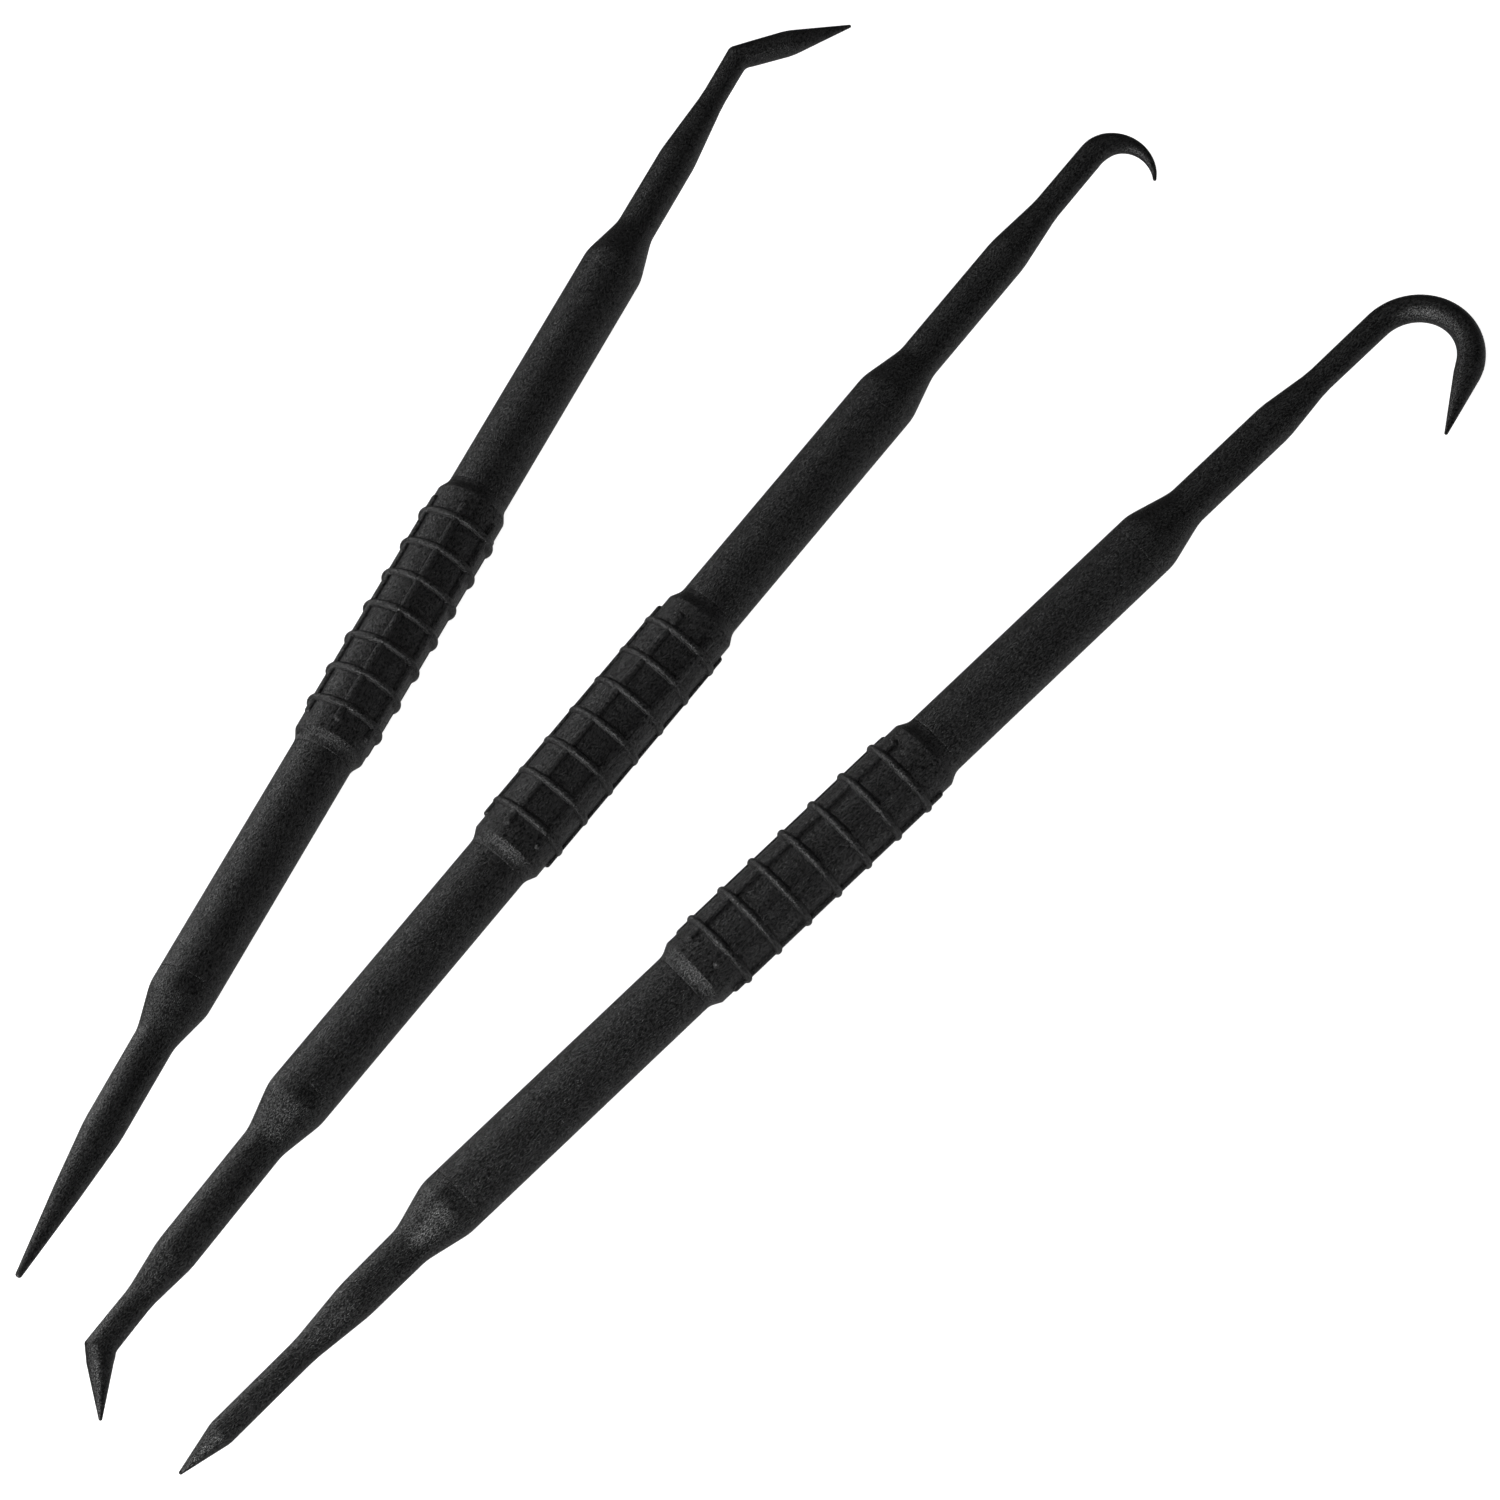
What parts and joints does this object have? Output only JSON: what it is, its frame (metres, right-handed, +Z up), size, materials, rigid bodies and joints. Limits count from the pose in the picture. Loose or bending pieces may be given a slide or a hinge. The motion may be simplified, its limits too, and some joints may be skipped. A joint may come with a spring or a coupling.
{
  "type": "hook and pick tool set",
  "caption": "Set of double-ended black nylon hook and pick tools with ribbed grips, for picking, scraping, hooking and shaping soft material.",
  "frame": {"origin": "middle of the set's outline, on the surface that the tools lie on", "axes": "+X along the middle tool from its angled point to its small hook, +Y towards the bent pick tool, +Z up from the table"},
  "size_m": [0.2438, 0.152, 0.0125],
  "materials": {
    "shaft_nylon": "matte, fine moulded grain",
    "grip_nylon": "matte, fine moulded grain",
    "tip_nylon": "satin, smoother towards the points"
  },
  "bodies": {
    "small_hook_tool": {"small_hook_tool_shaft": "shaft_nylon", "small_hook_tool_grip_sleeve": "grip_nylon", "small_hook_tool_hook_tip": "tip_nylon", "small_hook_tool_angled_tip": "tip_nylon"},
    "bent_pick_tool": {"bent_pick_tool_shaft": "shaft_nylon", "bent_pick_tool_grip_sleeve": "grip_nylon", "bent_pick_tool_bent_tip": "tip_nylon", "bent_pick_tool_long_point_tip": "tip_nylon"},
    "large_hook_tool": {"large_hook_tool_shaft": "shaft_nylon", "large_hook_tool_grip_sleeve": "grip_nylon", "large_hook_tool_hook_tip": "tip_nylon", "large_hook_tool_short_point_tip": "tip_nylon"}
  },
  "joints": [
    {"name": "bent_pick_tool_lift", "type": "slide", "parent": "small_hook_tool", "child": "bent_pick_tool", "axis": [0, 0, 1], "range_m": [0, 0.06]},
    {"name": "large_hook_tool_lift", "type": "slide", "parent": "small_hook_tool", "child": "large_hook_tool", "axis": [0, 0, 1], "range_m": [0, 0.06]}
  ]
}
